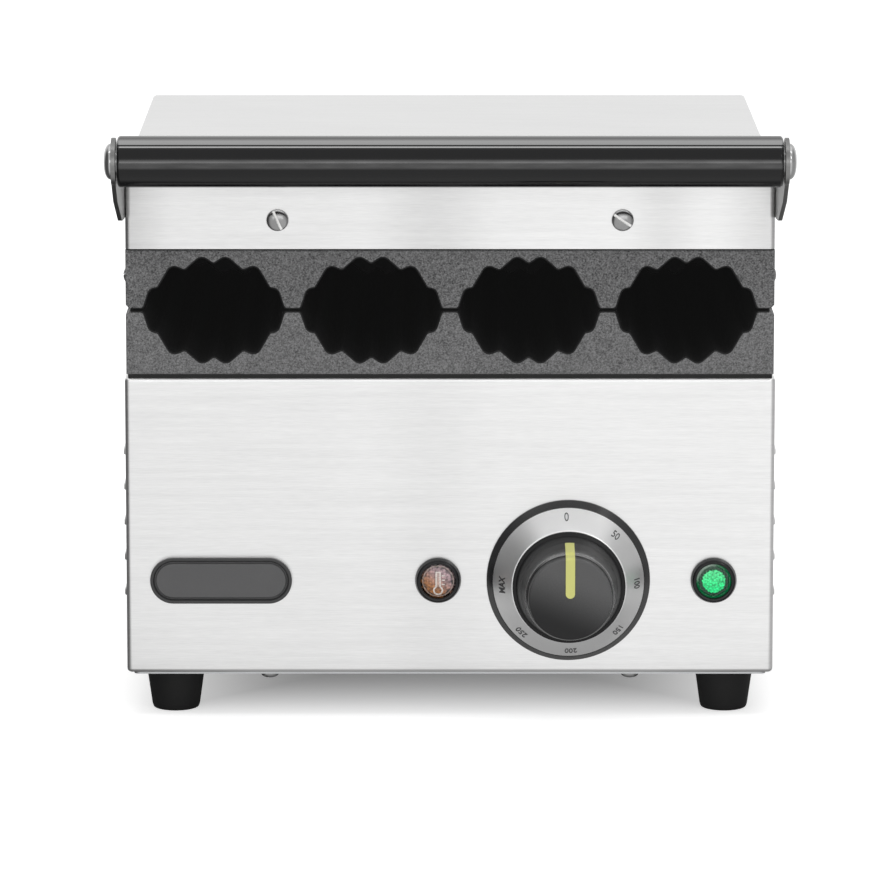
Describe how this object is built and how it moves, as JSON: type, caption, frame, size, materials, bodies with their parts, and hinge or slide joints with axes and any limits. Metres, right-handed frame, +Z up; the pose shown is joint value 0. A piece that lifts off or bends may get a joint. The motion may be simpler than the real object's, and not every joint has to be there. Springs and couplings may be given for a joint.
{
  "type": "contact grill",
  "caption": "Countertop contact grill with fluted cast plates, a hinged lid with a bar handle, a thermostat dial and signal lamps.",
  "frame": {"origin": "middle of the overall footprint, at the level of the table under the feet", "axes": "+Z up; the front with the controls and the handle faces -Y; +X is the viewer's right as they face the front"},
  "size_m": [0.3026, 0.3416, 0.2677],
  "materials": {
    "stainless": "fine horizontal brush lines, satin",
    "plated_steel": "zinc-plated sheet, dull",
    "screw_steel": "turned, lightly polished",
    "hinge_steel": "brushed plate",
    "bracket_steel": "ground plate",
    "cast_plate": "fine-grained grey enamel over cast iron",
    "seal": "matt black heat-proof seal",
    "element_tube": "heat-darkened sheath",
    "mineral_board": "pressed mineral fibre board",
    "switch_body": "cream thermoset moulding",
    "capillary_copper": "drawn copper tube",
    "terminal_brass": "turned brass",
    "black_moulding": "gloss black moulding",
    "knob_moulding": "satin black moulding with gloss edges",
    "pointer_yellow": "yellow-green inlay",
    "dial_aluminium": "turned, satin, printed numbers",
    "green_lens": "translucent green, pebbled inside, lit",
    "amber_lens": "translucent amber, pebbled inside, unlit",
    "name_plate_black": "satin black plate with a raised rim, bare",
    "foot_rubber": "moulded black rubber",
    "gland_nylon": "black nylon",
    "hose_steel": "wound steel hose",
    "wire_sleeve": "white glass-fibre sleeve",
    "handle_phenolic": "polished black phenolic"
  },
  "bodies": {
    "base": {"body_shell": "stainless", "bottom_plate": "plated_steel", "back_panel": "stainless", "cabinet_screws": "screw_steel", "cabinet_nuts": "screw_steel", "lower_grill_plate": "cast_plate", "plate_gasket": "seal", "lower_plate_bolts": "screw_steel", "lower_heating_element": "element_tube", "lower_element_clamps": "plated_steel", "lower_heat_shield": "plated_steel", "lower_insulation_board": "mineral_board", "thermostat_body": "switch_body", "thermostat_capillary": "capillary_copper", "thermostat_screws": "screw_steel", "dial_bezel": "black_moulding", "dial_ring": "dial_aluminium", "power_lamp_bezel": "black_moulding", "power_lamp_lens": "green_lens", "heat_lamp_bezel": "black_moulding", "heat_lamp_lens": "amber_lens", "lamp_bodies": "switch_body", "panel_nuts": "gland_nylon", "name_plate": "name_plate_black", "foot_front_left": "foot_rubber", "foot_front_right": "foot_rubber", "foot_rear_left": "foot_rubber", "foot_rear_right": "foot_rubber", "foot_screws": "screw_steel", "cable_gland": "gland_nylon", "terminal_block": "switch_body", "earth_terminal": "terminal_brass", "wiring_harness": "wire_sleeve", "hinge_bracket_left": "hinge_steel", "hinge_bracket_right": "hinge_steel", "hinge_pins": "screw_steel", "hose_elbow_lower": "gland_nylon", "lid_hose": "hose_steel"},
    "lid": {"lid_shell": "stainless", "upper_grill_plate": "cast_plate", "upper_heating_element": "element_tube", "upper_element_clamps": "plated_steel", "upper_clamp_screws": "screw_steel", "upper_insulation_board": "mineral_board", "lid_front_screws": "screw_steel", "upper_plate_side_screws": "screw_steel", "hinge_arm_left": "hinge_steel", "hinge_arm_right": "hinge_steel", "lid_fixing_screws": "screw_steel", "lid_nuts": "screw_steel", "hose_elbow_upper": "gland_nylon", "handle_bracket_left": "bracket_steel", "handle_bracket_right": "bracket_steel", "handle_grip": "handle_phenolic", "handle_rod": "screw_steel", "handle_bolts": "screw_steel"},
    "knob": {"control_knob": "knob_moulding", "knob_pointer": "pointer_yellow", "thermostat_spindle": "screw_steel"}
  },
  "joints": [
    {"name": "lid_hinge", "type": "hinge", "parent": "base", "child": "lid", "pos_m": [0, 0.157, 0.1852], "axis": [-1, 0, 0], "range_deg": [0, 95], "deforming": ["lid_hose"]},
    {"name": "knob_turn", "type": "hinge", "parent": "base", "child": "knob", "pos_m": [0.053, -0.125, 0.0629], "axis": [0, 1, 0], "range_deg": [0, 270]}
  ]
}
